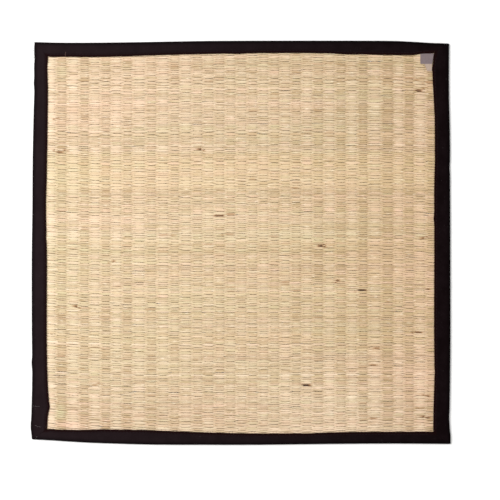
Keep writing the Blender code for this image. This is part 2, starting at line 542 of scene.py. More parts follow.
def reed_mesh(number, rows):
    """One stalk's points, and for each point its tone, how yellow and pink it is, its marks."""
    places, columns, lifts = reed_stations()
    wander = draw.normal(0, CROSSING_WANDER, len(WARP_LINES))
    wander = np.clip(wander, -CROSSING_WANDER_LIMIT, CROSSING_WANDER_LIMIT)
    places = places + wander[columns] * (1 - lifts)
    y = row_line(rows[number], places)
    over = np.where((columns + number) % 2 == 1, 1.0, -1.0)
    from_left = (places - places[0]) / (places[-1] - places[0])
    butt = 1 - from_left if number % 2 == 0 else from_left
    lean = 2 * butt - 1
    at_crossing = half_gaps(rows, number, 1)
    at_string = half_gaps(rows, number, 2)
    fill = np.where(over > 0, OVER_FILL, UNDER_FILL)
    spreads = []
    for close, far in zip(at_crossing, at_string):
        wide = close * CROSSING_FILL + (far * fill - close * CROSSING_FILL) * lifts
        wide = wide * draw.normal(1.0, WIDTH_VARIES, len(WARP_LINES))[columns]
        spreads.append(wide * (1 + BUTT_WIDER * lean))
    spots = np.stack([places / WOBBLE_STRETCH, y, np.zeros_like(y)], axis=1)
    y = y + WOBBLE * rippled(spots, WOBBLE_SIZE, 5)
    y = y + draw.normal(0, COLUMN_SHIFT, len(WARP_LINES))[columns]
    half_thick = REED_THICK / 2 * (1 + CROSSING_THICKER * (1 - lifts))
    opened = open_share(places, y)
    half_thick = half_thick * (SQUEEZED_THICKNESS + (1 - SQUEEZED_THICKNESS) * opened)
    middle = TAPE_TOP / 2 + (WEAVE_MIDDLE - TAPE_TOP / 2) * opened
    swing = SWING * (SQUEEZED_SWING + (1 - SQUEEZED_SWING) * opened)
    swing = swing * draw.uniform(LEAST_SWING, 1.0, len(WARP_LINES))[columns]
    z = middle + (over * lifts + CROSSING_LIFT * (1 - lifts)) * swing
    tilt = draw.normal(0, STALK_TILT, len(places))
    points = []
    for k in range(REED_SIDES):
        turn = 2 * pi * k / REED_SIDES
        across = -cos(turn) * spreads[0 if cos(turn) > 0 else 1]
        upward = half_thick * sin(turn)
        points.append(np.stack([places, y + across, z + upward + across * tilt], axis=1))
    points = np.stack(points, axis=1).reshape(-1, 3)
    tone = draw.normal(STALK_TONE, STALK_TONE_VARIES)
    tone = tone + draw.normal(0, COLUMN_TONE_VARIES, len(WARP_LINES))[columns]
    tone = tone + BUTT_PALER * lean
    # Painted shade: darker toward the right, where less lamp light falls; butt ends less so.
    tone = tone - RIGHT_PAINTED_SHADE * from_left ** 3 * (1 - BUTT_DARKENS_LESS * lean)
    # Painted shade on the under-stalks, seen down in the gaps between the over-stalks.
    tone = tone - UNDER_PAINTED_SHADE * lifts ** 2 * (over < 0)
    middle_y = y.mean()
    spots = [(k * PATCH_SPACING, middle_y, 0) for k in range(len(WARP_LINES))]
    tone = tone + PATCHY * rippled(spots, PATCH_LENGTH, 8)[columns]
    tone = tone + blushes(PALER, places, middle_y)
    # Partly real stains, partly painted shade of the gaps, on the over-stalks' lower edges.
    stained_and_gap_shaded = draw.random(len(WARP_LINES)) < STAIN_AND_GAP_SHADE_CHANCE
    stain_and_gap_shade = (stained_and_gap_shaded * draw.uniform(*STAIN_AND_GAP_SHADE_DEPTHS, len(WARP_LINES)))[columns]
    stain_and_gap_shade = (stain_and_gap_shade * lifts * (over > 0))[:, None] * STAIN_AND_GAP_SHADE_SIDES
    mark = 0 * places
    for blemish in BLEMISHES:
        above = blemish.y * MM - y
        hit = (over > 0) & (-at_string[0] < above) & (above < at_string[1])
        from_middle = np.abs(places - blemish.x * MM) / (blemish.length / 2 * MM)
        strength = np.clip(MARK_AT_MIDDLE - MARK_FADES * from_middle, 0, 1)
        mark = np.maximum(mark, hit * strength * blemish.depth)
    mark = np.maximum(stain_and_gap_shade, mark[:, None] * MARKED_SIDES)
    heights = [yellowing.y * MM for yellowing in YELLOWED]
    yellow = np.interp(middle_y, heights, [yellowing.depth for yellowing in YELLOWED])
    yellow = yellow + draw.normal(0, YELLOW_VARIES)
    yellow = yellow + RIGHT_YELLOWER * from_left ** 2
    pink = draw.normal(0, PINK_VARIES) + draw.normal(0, PINK_VARIES, len(WARP_LINES))[columns]
    pink = pink + blushes(PINKER, places, middle_y)
    per_point = [np.repeat(values, REED_SIDES) for values in (tone, yellow, pink)]
    return points, [*per_point, mark.ravel()]


def tube_faces(rings, sides, start):
    """Four-sided faces of a tube of rings, with both ends closed."""
    ring = np.arange(rings - 1)[:, None] * sides + start
    k = np.arange(sides)[None, :]
    after = (k + 1) % sides
    walls = np.stack([ring + k, ring + sides + k, ring + sides + after, ring + after], axis=-1)
    first = list(range(start, start + sides))
    last = [start + (rings - 1) * sides + k for k in range(sides)]
    return walls.reshape(-1, 4).tolist(), [first, last[::-1]]


def new_piece(name, points, faces, material, node):
    """A smooth mesh that rides on the mat's body in place of a node of the frame."""
    mesh = bpy.data.meshes.new(name)
    mesh.from_pydata(points, [], faces)
    mesh.shade_smooth()
    mesh.materials.append(material)
    piece = bpy.data.objects.new(name, mesh)
    bpy.context.scene.collection.objects.link(piece)
    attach(piece, "root")
    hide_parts(node)
    return piece


def give_values(piece, name, values):
    layer = piece.data.attributes.new(name, "FLOAT", "POINT")
    layer.data.foreach_set("value", np.asarray(values, np.float32))


STRAW_DARK = (0.42, 0.293, 0.158, 1)
STRAW_PALE = (0.86, 0.70, 0.52, 1)
STRAW_YELLOW = (0.67, 0.50, 0.27, 1)
STRAW_GREEN = (0.58, 0.51, 0.30, 1)
STRAW_PINK = (0.74, 0.50, 0.36, 1)
STRAW_BROWN = (0.52, 0.36, 0.21, 1)
# Painted highlight: thin pale streaks stand for glints on the stalks.
STRAW_PAINTED_GLINT = (0.95, 0.83, 0.66, 1)
# Colours of the marks: real stains and blemishes, and painted shade of the gaps between stalks.
STAIN_AND_SHADE_BROWN = (0.34, 0.18, 0.08, 1)
STAIN_AND_SHADE_BLACK = (0.045, 0.02, 0.012, 1)


def rush_finish():
    """Dried rush: pale straw, streaked lengthwise, with greener, pinker and browner stalks."""
    rush = Finish("dried_rush", 0.6)
    rush.feed("Specular IOR Level", 0.22)
    places = rush.node("ShaderNodeTexCoord", None, None, "Object")
    tone = rush.attribute("tone")
    mark = rush.attribute("mark")
    streak = rush.grain(places, (110, 2600, 1800), 3.0)
    blotch = rush.grain(places, (35, 420, 60), 2.0)
    vein = rush.grain(places, (80, 900, 500), 2.0)
    light = (tone + (streak - 0.5) * 0.3 + (vein - 0.5) * 0.6 + (blotch - 0.5) * 0.3).clamped()
    straw = rush.mix(light, STRAW_DARK, STRAW_PALE)
    straw = rush.mix(rush.attribute("yellow").clamped() * 0.35, straw, STRAW_YELLOW)
    pink = rush.attribute("pink") + (rush.grain(places, (4, 14, 50), 2.0) - 0.5) * 2.8
    tinted = rush.mix((pink * -0.4).clamped(), straw, STRAW_GREEN)
    tinted = rush.mix((pink * 0.4).clamped(), tinted, STRAW_PINK)
    browner = rush.grain(places, (7, 430, 90), 1.0).above(0.66, 0.1)
    tinted = rush.mix(browner * 0.25, tinted, STRAW_BROWN)
    # Painted highlights: thin pale streaks that stand for glints on the stalks.
    painted_glints = rush.grain(places, (110, 1000, 600), 1.0).above(0.69, 0.05)
    tinted = rush.mix(painted_glints * 0.5, tinted, STRAW_PAINTED_GLINT)
    # Dark specks and marks: partly real stains, partly painted shade of the gaps between
    # stalks.
    specks_and_gap_shade = rush.grain(places, (130, 900, 400), 1.0).above(0.77, 0.04)
    marked = (mark + specks_and_gap_shade * 0.4).clamped()
    stained_and_gap_shaded = rush.mix((marked * 1.5).clamped(), tinted, STAIN_AND_SHADE_BROWN)
    rush.feed("Base Color", rush.mix(marked.above(0.68, 0.27), stained_and_gap_shaded, STAIN_AND_SHADE_BLACK))
    rush.feed("Roughness", 0.55 + 0.2 * streak)
    rush.bump(streak, 0.35, 0.12 * MM)
    return rush.material


MAP_MARGIN = 0.002
STRIP_MARGIN = 0.04


def within(share, margin):
    """A share of the way between two margins of a bake map."""
    return margin + (1 - 2 * margin) * share


def lay_map(piece, rings, sides, count):
    """Lays each stalk's wall flat in its own strip of the bake map."""
    layer = piece.data.uv_layers.new(name="OFBake")
    corner = np.zeros(len(piece.data.loops), int)
    piece.data.loops.foreach_get("vertex_index", corner)
    reed, place = corner // (rings * sides), corner % (rings * sides)
    ring, side = place // sides, place % sides
    turn_start = np.zeros(len(piece.data.polygons), int)
    piece.data.polygons.foreach_get("loop_start", turn_start)
    sizes = np.zeros(len(piece.data.polygons), int)
    piece.data.polygons.foreach_get("loop_total", sizes)
    first_side = np.repeat(side[turn_start], sizes)
    wraps = (first_side == sides - 1) & (side == 0) & np.repeat(sizes == 4, sizes)
    up = (side + sides * wraps) / sides
    lengthwise = within(ring / (rings - 1), MAP_MARGIN)
    crosswise = (reed + within(up, STRIP_MARGIN)) / count
    places = np.stack([lengthwise, crosswise], axis=1)
    layer.data.foreach_set("uv", places.astype(np.float32).ravel())


def weave_bands():
    """The stalks in five pieces, bottom to top, each a woven band across the whole mat."""
    material = rush_finish()
    rows = reed_rows()
    rings = len(reed_stations()[0])
    per_band = -(-len(rows) // BANDS)
    for band in range(BANDS):
        numbers = range(band * per_band, min((band + 1) * per_band, len(rows)))
        points, walls, ends, values = [], [], [], []
        for place, number in enumerate(numbers):
            reed, per_point = reed_mesh(number, rows)
            wall, end = tube_faces(rings, REED_SIDES, place * rings * REED_SIDES)
            points.append(reed)
            walls += wall
            ends += end
            values.append(per_point)
        points = np.concatenate(points)
        faces = walls + ends
        piece = new_piece(f"reeds_{band + 1}", points, faces, material, "reed_panel")
        for k, layer in enumerate(("tone", "yellow", "pink", "mark")):
            give_values(piece, layer, np.concatenate([value[k] for value in values]))
        lay_map(piece, rings, REED_SIDES, len(numbers))


weave_bands()


# The warp: two thin hemp strings run up each column, from end to end of the mat. They stay
# nearly straight, between the stalks that go over them and the stalks that go under.
STRING_PLACES = (0.36, 0.64)
STRING_RADIUS = 0.3 * MM
STRING_END_INSET = 6 * MM
STRING_PITCH = 56 * MM
STRING_WANDER = 0.15 * MM
STRING_SIDES = 6
STRING_COLOUR_DARK = (0.52, 0.40, 0.26, 1)
STRING_COLOUR_PALE = (0.74, 0.60, 0.42, 1)


def tube_points(path, radius, sides):
    """Rings of points round a path."""
    path = np.asarray(path, float)
    ahead = np.gradient(path, axis=0)
    ahead /= np.linalg.norm(ahead, axis=1)[:, None]
    sideways = np.cross(ahead, (0, 0, 1))
    sideways /= np.linalg.norm(sideways, axis=1)[:, None]
    upward = np.cross(sideways, ahead)
    rings = []
    for k in range(sides):
        turn = 2 * pi * k / sides
        rings.append(path + radius * (cos(turn) * sideways + sin(turn) * upward))
    return np.stack(rings, axis=1).reshape(-1, 3)


def tubes(paths, radius, sides):
    """The points and faces of one mesh that holds a tube for each path."""
    points, faces = [], []
    for path in paths:
        start = sum(len(group) for group in points)
        points.append(tube_points(path, radius, sides))
        walls, ends = tube_faces(len(path), sides, start)
        faces += walls + ends
    return np.concatenate(points), faces


def hemp_finish():
    """Pale hemp, darker and lighter along each string's twist."""
    hemp = Finish("hemp_string", 0.85)
    places = hemp.node("ShaderNodeTexCoord", None, None, "Object")
    twist = hemp.grain(places, (900, 700, 900), 3.0)
    hemp.feed("Base Color", hemp.mix(twist, STRING_COLOUR_DARK, STRING_COLOUR_PALE))
    hemp.bump(twist, 0.6, 0.1 * MM)
    return hemp.material


def string_warp():
    low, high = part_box("reed_panel")
    rows = np.arange(low.y + STRING_END_INSET, high.y - STRING_END_INSET, STRING_PITCH)
    paths = []
    for left, right in zip(WARP_LINES, WARP_LINES[1:]):
        for share in STRING_PLACES:
            x = left + (right - left) * share
            if REED_ENDS[0] < x < REED_ENDS[1]:
                path = [(x + draw.normal(0, STRING_WANDER), y, WEAVE_MIDDLE) for y in rows]
                paths.append(path)
    points, faces = tubes(paths, STRING_RADIUS, STRING_SIDES)
    new_piece("warp_strings", points, faces, hemp_finish(), "reed_panel")


string_warp()


# The binding: four strips of black cotton tape, each folded over one edge of the mat, with
# its own raw edges turned in and one line of stitches through both layers near the inner
# fold. The tapes meet in mitres. The cloth is a close plain weave and lies a little slack.
TURNED_IN = 5 * MM
TAPE_THICK = 0.6 * MM
HEM_THICK = 0.95 * MM
HEM_WIDTH = 7.4 * MM
RAW_EDGE_THICK = 0.3 * MM
# Width of the painted warm shadow line along the tape's sewn edge.
PAINTED_EDGE_SHADOW_WIDTH = 6 * MM
PAINTED_EDGE_SHADOW_BLEND = 4 * MM
SHADED_WIDTH = 7 * MM
SHADED_BLEND = 6 * MM
UNDERSIDE_NARROWER = 2.0 * MM
STITCH_LINE = 3.6 * MM
FOLD_RADIUS = TAPE_TOP / 2
UNDER_LEVEL = 0.05 * MM
FOLD_STEPS = 10
FLAT_STEPS = 9
END_LENGTH = 14 * MM
END_STEP = 0.7 * MM
TAPE_STEP = 2.8 * MM
MITRE_GAP = 0.02 * MM
MITRE_SINK = 0.22 * MM
MITRE_SINK_WIDTH = 0.9 * MM
MITRE_BLEND = 6 * MM
CORNER_ROUNDING = 1.3 * MM
CORNER_DRAWN_IN = CORNER_ROUNDING * (1 - 0.5 ** 0.5)
CORNER_PASSES = 5
FIRST_CORNER_GUESS = 290 * MM
CUT_SAMPLES = 50
Turn = namedtuple("Turn", "inward level")
TOP_HEM = [
    Turn(0.35, 4.12),
    Turn(0.05, 4.32),
    Turn(0.0, 4.6),
    Turn(0.15, 4.88),
    Turn(0.55, 5.06),
    Turn(1.3, 5.14),
    Turn(2.4, 5.08),
    Turn(3.1, 4.88),
    Turn(3.6, 4.72),
    Turn(4.1, 4.88),
    Turn(4.8, 5.08),
    Turn(6.0, 5.15),
    Turn(7.2, 5.12),
    Turn(7.8, 4.98),
]
UNDER_HEM = [
    Turn(5.0, 0.05),
    Turn(4.2, 0.16),
    Turn(3.6, 0.34),
    Turn(3.0, 0.14),
    Turn(2.5, 0.03),
    Turn(2.1, 0.2),
    Turn(2.0, 0.45),
    Turn(2.15, 0.65),
]
BANDS_BELOW = {"top": ["reeds_5"], "bottom": ["reeds_1"]}
BANDS_BELOW["left"] = BANDS_BELOW["right"] = [f"reeds_{k + 1}" for k in range(BANDS)]
Wrinkle = namedtuple("Wrinkle", "along across height seed")
WRINKLES = [Wrinkle(9, 26, 0.13, 1), Wrinkle(2.6, 7, 0.05, 9)]
WRINKLED_FROM = 0.55
WRINKLED_BLEND = 0.25
Pinch = namedtuple("Pinch", "side place width height")
PINCHES = [
    Pinch("left", -173, 2.2, 0.30),
    Pinch("left", -202, 1.6, 0.22),
    Pinch("left", -237, 2.0, 0.28),
    Pinch("left", -262, 1.5, 0.26),
    Pinch("left", -269, 1.3, 0.22),
    Pinch("left", -276, 1.2, 0.18),
    Pinch("bottom", -291, 1.3, 0.2),
    Pinch("bottom", -283, 1.6, 0.16),
    Pinch("top", 262, 1.8, 0.2),
    Pinch("right", -268, 1.6, 0.2),
]
PINCH_TROUGH = 0.5
PINCH_TROUGH_WIDER = 2.2


def corner_of(reach, side, neighbour):
    """Where the given edge lines of two neighbouring sides cross."""
    place = [0.0, 0.0]
    place[side.axis] = neighbour.outward * FIRST_CORNER_GUESS
    for _ in range(CORNER_PASSES):
        place[1 - side.axis] = side.outward * reach(side, place[side.axis])
        place[side.axis] = neighbour.outward * reach(neighbour, place[neighbour.axis])
    return np.array(place)


def neighbours(side):
    """The sides at the low and the high end of a side."""
    crossing = [other for other in SIDES if other.axis != side.axis]
    return sorted(crossing, key=lambda other: other.outward)


def tape_ends(side):
    """Low and high ends along the side of the inner edge, the outer edge and the corners."""
    inner, corners = [], []
    for neighbour in neighbours(side):
        inner.append(corner_of(inner_reach, side, neighbour)[side.axis])
        corners.append(corner_of(outer_reach, side, neighbour)[side.axis])
    drawn_in = CORNER_DRAWN_IN + MITRE_GAP
    inner = (inner[0] + MITRE_GAP, inner[1] - MITRE_GAP)
    outer = (corners[0] + drawn_in, corners[1] - drawn_in)
    return inner, outer, corners


def tape_shares(length):
    """Places along a tape from 0 to 1, closer together near its ends."""
    fine = np.arange(0, END_LENGTH, END_STEP)
    middle = np.linspace(END_LENGTH, length - END_LENGTH, int(length / TAPE_STEP))
    return np.concatenate([fine, middle, (length - fine)[::-1]]) / length


def tape_section(width):
    """The cloth's outer face in section, at each width: reach from the inner edge, level."""
    reaches, levels, thick = [], [], []
    for turn in TOP_HEM:
        reaches.append(np.full_like(width, turn.inward * MM))
        levels.append(turn.level * MM)
        thick.append(HEM_THICK if turn.inward * MM < HEM_WIDTH else TAPE_THICK)
    flat_end = TOP_HEM[-1].inward * MM
    for share in np.linspace(0, 1, FLAT_STEPS)[1:]:
        reaches.append(flat_end + (width - FOLD_RADIUS - flat_end) * share)
        levels.append(TOP_HEM[-1].level * MM + (TAPE_TOP - TOP_HEM[-1].level * MM) * share)
        thick.append(TAPE_THICK)
    for k in range(1, FOLD_STEPS + 1):
        turn = pi * k / FOLD_STEPS
        reaches.append(width - FOLD_RADIUS + FOLD_RADIUS * sin(turn))
        levels.append(FOLD_RADIUS + FOLD_RADIUS * cos(turn))
        thick.append(TAPE_THICK)
    flat_end = UNDER_HEM[0].inward * MM
    for share in np.linspace(1, 0, FLAT_STEPS)[1:-1]:
        reaches.append(flat_end + (width - FOLD_RADIUS - flat_end) * share)
        levels.append(UNDER_LEVEL)
        thick.append(TAPE_THICK)
    for turn in UNDER_HEM:
        reaches.append(np.full_like(width, turn.inward * MM))
        levels.append(turn.level * MM)
        thick.append(TAPE_THICK)
    thick[0] = thick[-1] = RAW_EDGE_THICK
    return np.stack(reaches, axis=1), np.array(levels), np.array(thick)


def tape_wrinkles(side, along, reaches, places, ends):
    """How far the cloth stands off its plain section, in metres, at each point."""
    seed = SIDES.index(side)
    lift = 0 * along
    for wrinkle in WRINKLES:
        spots = [along / wrinkle.along, reaches / wrinkle.across, np.full_like(along, seed)]
        spots = np.stack(spots, axis=-1).reshape(-1, 3)
        ripples = rippled(spots, MM, seed + wrinkle.seed).reshape(along.shape)
        lift = lift + wrinkle.height * MM * ripples
    for pinch in PINCHES:
        if pinch.side == side.name:
            centre = (pinch.place * MM - ends[0]) / (ends[1] - ends[0])
            gap = (places - centre) * (ends[1] - ends[0]) / (pinch.width * MM)
            trough = PINCH_TROUGH * np.exp(-(gap / PINCH_TROUGH_WIDER) ** 2)
            lift = lift + pinch.height * MM * (np.exp(-gap ** 2) - trough)
    return lift


def tape_mesh(side):
    """The closed cloth of one tape, in rings out along one face and back on the other.

    Each point comes with how near the sewn edge and the fold it is, from 0 to 1.
    """
    inner, outer, corners = tape_ends(side)
    places = tape_shares(outer[1] - outer[0])[:, None]

    def along_at(share):
        low = inner[0] + (outer[0] - inner[0]) * share
        high = inner[1] + (outer[1] - inner[1]) * share
        return low + (high - low) * places

    def widths(along):
        to_corner = np.minimum(along - corners[0], corners[1] - along)
        short = np.clip(CORNER_ROUNDING - to_corner, 0, CORNER_ROUNDING)
        cut = CORNER_ROUNDING - np.sqrt(CORNER_ROUNDING ** 2 - short ** 2)
        return outer_reach(side, along) - cut - inner_reach(side, along)

    def mitred(reach, shares):
        """Draws the ends of the rings on to the straight line between the corners."""
        for end in (0, -1):
            inside, outside = inner_reach(side, inner[end]), outer_reach(side, corners[end])
            line = inside + (outside - CORNER_DRAWN_IN - inside) * shares[end]
            gone = np.abs(places - places[end]) * (outer[1] - outer[0])
            reach = reach + (line - reach[end]) * np.exp(-gone / MITRE_BLEND)
        return reach

    width = widths(along_at(0.5)[:, 0])
    reaches, levels, thick = tape_section(width)
    shares = np.clip(reaches / width[:, None], 0, 1)
    along = along_at(shares)
    scaled = widths(along)
    reaches = [tape_section(scaled[:, k])[0][:, k] for k in range(reaches.shape[1])]
    reaches = mitred(inner_reach(side, along) + np.stack(reaches, axis=1), shares)
    reaches = reaches - inner_reach(side, along)
    levels = np.broadcast_to(levels, reaches.shape)
    step_out = np.gradient(reaches, axis=1)
    step_up = np.gradient(levels, axis=1)
    size = np.hypot(step_out, step_up)
    normal_out, normal_up = -step_up / size, step_out / size
    lift = tape_wrinkles(side, along, reaches, places, outer)
    near_mitre = np.minimum(places, 1 - places) * (outer[1] - outer[0])
    lift = lift - MITRE_SINK * np.exp(-near_mitre / MITRE_SINK_WIDTH)
    lift = lift * smoothly((levels / TAPE_TOP - WRINKLED_FROM) / WRINKLED_BLEND)
    faces_out = reaches + normal_out * lift
    faces_up = levels + normal_up * lift
    back_out = faces_out - normal_out * thick
    back_up = faces_up - normal_up * thick
    out = np.concatenate([faces_out, back_out[:, ::-1]], axis=1)
    up = np.concatenate([faces_up, back_up[:, ::-1]], axis=1)
    # Where the painted warm shadow line lies, beside the reeds.
    near_reeds = smoothly((PAINTED_EDGE_SHADOW_WIDTH - reaches) / PAINTED_EDGE_SHADOW_BLEND)
    near_reeds = np.concatenate([near_reeds, near_reeds[:, ::-1]], axis=1)
    near_fold = smoothly((reaches - scaled + SHADED_WIDTH) / SHADED_BLEND)
    near_fold = np.concatenate([near_fold, near_fold[:, ::-1]], axis=1)
    along = np.concatenate([along, along[:, ::-1]], axis=1)
    points = np.zeros((*out.shape, 3))
    points[..., side.axis] = along
    points[..., 1 - side.axis] = side.outward * (inner_reach(side, along) + out)
    points[..., 2] = up
    return points, near_reeds, near_fold


def tape_faces(rings, sides, mirrored):
    """The walls between rings, and strips that close the cloth's cut at both ends."""
    walls, _ = tube_faces(rings, sides, 0)
    last = (rings - 1) * sides
    strips = []
    for k in range(sides // 2 - 1):
        strip = [k, k + 1, sides - 2 - k, sides - 1 - k]
        strips.append(strip)
        strips.append([last + place for place in strip[::-1]])
    faces = walls + strips
    return [face[::-1] for face in faces] if mirrored else faces


COTTON_THREADS = 520.0
COTTON_DARK = (0.0036, 0.0014, 0.0018, 1)
# Painted light: the cloth is paler toward the left lamp; worn mottling moves it the same way.
COTTON_PAINTED_LIGHT_AND_WEAR = (0.0150, 0.0091, 0.0105, 1)
COTTON_SHADED = (0.0006, 0.0004, 0.0005, 1)
# Painted shadow line along the sewn edge, warm with light bounced from the reeds.
COTTON_PAINTED_EDGE_SHADOW = (0.0078, 0.0016, 0.0016, 1)
COTTON_LINT = (0.085, 0.075, 0.075, 1)


def cotton_finish():
    """Black cotton, close plain weave, mottled by wear: painted light makes it paler on the
    left, a painted warm shadow line runs beside the reeds, and painted shade darkens it over
    the fold."""
    cotton = Finish("black_cotton", 0.9)
    cotton.feed("Specular IOR Level", 0.03)
    places = cotton.node("ShaderNodeTexCoord", None, None, "Object")
    threads = []
    for direction in ("X", "Y"):
        settings = {"bands_direction": direction, "wave_profile": "SIN"}
        sockets = {"Vector": places, "Scale": COTTON_THREADS, "Distortion": 0.6, "Detail": 1.0}
        threads.append(cotton.node("ShaderNodeTexWave", settings, sockets, "Fac"))
    weave = threads[0] * threads[1]
    worn = cotton.grain(places, (60, 60, 60), 4.0, 0.65)
    across = cotton.node("ShaderNodeSeparateXYZ", None, {"Vector": places}, "X")
    # Painted light: paler toward the left, mottled by wear.
    painted_light_and_wear = ((across * -1.23 + 0.44) + (worn - 0.5) * 0.8).clamped()
    dyed = cotton.mix(painted_light_and_wear, COTTON_DARK, COTTON_PAINTED_LIGHT_AND_WEAR)
    dyed = cotton.mix(cotton.attribute("shaded") * 0.6, dyed, COTTON_SHADED)
    # Painted warm shadow line beside the reeds.
    dyed = cotton.mix(cotton.attribute("browned") * 0.8, dyed, COTTON_PAINTED_EDGE_SHADOW)
    lint = cotton.grain(places, (420, 420, 420), 2.0).above(0.74, 0.05)
    cotton.feed("Base Color", cotton.mix(lint * 0.25, dyed, COTTON_LINT))
    cotton.feed("Roughness", 0.8 + worn * 0.2)
    cotton.bump(weave, 0.5, 0.12 * MM)
    return cotton.material


RING_MAP_MARGIN = 0.01


def lay_ring_map(piece, rings, sides):
    """Lays a closed band of rings flat in the bake map, its two faces one above the other."""
    layer = piece.data.uv_layers.new(name="OFBake")
    corner = np.zeros(len(piece.data.loops), int)
    piece.data.loops.foreach_get("vertex_index", corner)
    ring, side = corner // sides, corner % sides
    starts = np.zeros(len(piece.data.polygons), int)
    piece.data.polygons.foreach_get("loop_start", starts)
    totals = np.zeros(len(piece.data.polygons), int)
    piece.data.polygons.foreach_get("loop_total", totals)
    low_side = np.repeat(np.minimum.reduceat(side, starts), totals)
    high_side = np.repeat(np.maximum.reduceat(side, starts), totals)
    wraps = (low_side == 0) & (high_side == sides - 1) & (side == 0)
    lengthwise = within(ring / (rings - 1), RING_MAP_MARGIN)
    crosswise = within((side + sides * wraps) / sides, RING_MAP_MARGIN)
    flat = np.stack([lengthwise, crosswise], axis=1)
    layer.data.foreach_set("uv", flat.astype(np.float32).ravel())


def tape_cut(side):
    """The width and length that the tape was cut to, with both raw edges to turn in."""
    low, high = tape_ends(side)[2]
    along = np.linspace(low, high, CUT_SAMPLES)
    shown = (outer_reach(side, along) - inner_reach(side, along)).mean()
    round_fold = 2 * shown - UNDERSIDE_NARROWER + (pi - 2) * FOLD_RADIUS
    return round_fold + 2 * TURNED_IN, high - low


def sew_tapes():
    material = cotton_finish()
    for side in SIDES:
        points, near_reeds, near_fold = tape_mesh(side)
        rings, sides = points.shape[:2]
        mirrored = (side.outward > 0) != (side.axis == 0)
        faces = tape_faces(rings, sides, mirrored)
        name, node = f"tape_{side.name}", f"binding_{side.name}"
        piece = new_piece(name, points.reshape(-1, 3), faces, material, node)
        # The painted warm shadow line beside the reeds, and the painted shade over the fold.
        give_values(piece, "browned", near_reeds.ravel())
        give_values(piece, "shaded", near_fold.ravel())
        lay_ring_map(piece, rings, sides)
        tape_cut(side)


sew_tapes()


# The stitches: black sewing thread along each tape's inner fold, sunk in the groove that it
# pulls into the cloth, with a matching line on the underside.
STITCH_PITCH = 4.6 * MM
STITCH_LENGTH = 3.5 * MM
STITCH_RADIUS = 0.22 * MM
STITCH_SIDES = 6
STITCH_SHARES = (0.0, 0.16, 0.5, 0.84, 1.0)
STITCH_HEIGHTS = (-0.22, 0.08, 0.14, 0.08, -0.22)
STITCH_ASKEW = 0.08 * MM
TOP_STITCH_LEVEL = 4.8 * MM
UNDER_STITCH_LEVEL = 0.26 * MM


def stitch_paths(side):
    """One short arched path for each stitch, on top and on the underside."""
    low, high = tape_ends(side)[0]
    paths = []
    for start in np.arange(low + STITCH_LENGTH, high - 2 * STITCH_LENGTH, STITCH_PITCH):
        for level, up in ((TOP_STITCH_LEVEL, 1), (UNDER_STITCH_LEVEL, -1)):
            askew = draw.normal(0, STITCH_ASKEW)
            path = []
            for share, height in zip(STITCH_SHARES, STITCH_HEIGHTS):
                place = start + STITCH_LENGTH * share
                point = [0.0, 0.0, level + up * height * MM]
                reach = inner_reach(side, place) + STITCH_LINE + askew * (2 * share - 1)
                point[side.axis] = place
                point[1 - side.axis] = side.outward * reach
                path.append(point)
            paths.append(path)
    return paths


THREAD_DARK = (0.0035, 0.0025, 0.004, 1)
THREAD_PALE = (0.012, 0.009, 0.013, 1)


def thread_finish():
    """Black sewing thread, a little bluer and glossier than the cloth, mottled by its plies."""
    thread = Finish("black_thread", 0.5)
    thread.feed("Specular IOR Level", 0.15)
    places = thread.node("ShaderNodeTexCoord", None, None, "Object")
    ply = thread.grain(places, (1500, 1500, 1500), 2.0)
    thread.feed("Base Color", thread.mix(ply, THREAD_DARK, THREAD_PALE))
    thread.bump(ply, 0.5, 0.05 * MM)
    return thread.material


BLACK_THREAD = thread_finish()
for side in SIDES:
    points, faces = tubes(stitch_paths(side), STITCH_RADIUS, STITCH_SIDES)
    name = f"stitches_{side.name}"
    new_piece(name, points, faces, BLACK_THREAD, f"binding_{side.name}")


# The label: a small woven label, left blank, with its paler turned end hanging below. It is
# fixed to the reeds in the upper right corner, close to the tape, and lies a little uneven.
Line = namedtuple("Line", "y left right")
LABEL_LINES = [
    Line(273.2, 259.0, 278.6),
    Line(268.0, 259.1, 277.8),
    Line(262.0, 259.1, 276.8),
    Line(258.3, 259.2, 276.0),
    Line(258.0, 265.0, 276.0),
    Line(252.5, 267.0, 275.8),
    Line(247.8, 269.2, 275.6),
]
LABEL_STEP = 0.5 * MM
LABEL_ACROSS = 40
LABEL_THICK = 0.35 * MM
LABEL_LEVEL = 4.25 * MM
LABEL_FACE_ENDS = 258.1 * MM
LABEL_WAVE = 0.12 * MM
LABEL_WAVE_LENGTH = 7 * MM
LABEL_CURL = 0.35 * MM


def label_lines():
    """The label's rows from top to bottom: y, left and right, with both rows of each step."""
    rows = []
    for upper, lower in zip(LABEL_LINES, LABEL_LINES[1:]):
        count = max(1, round((upper.y - lower.y) * MM / LABEL_STEP))
        for share in np.arange(count) / count:
            rows.append([a + (b - a) * share for a, b in zip(upper, lower)])
    rows.append(list(LABEL_LINES[-1]))
    return np.array(rows) * MM


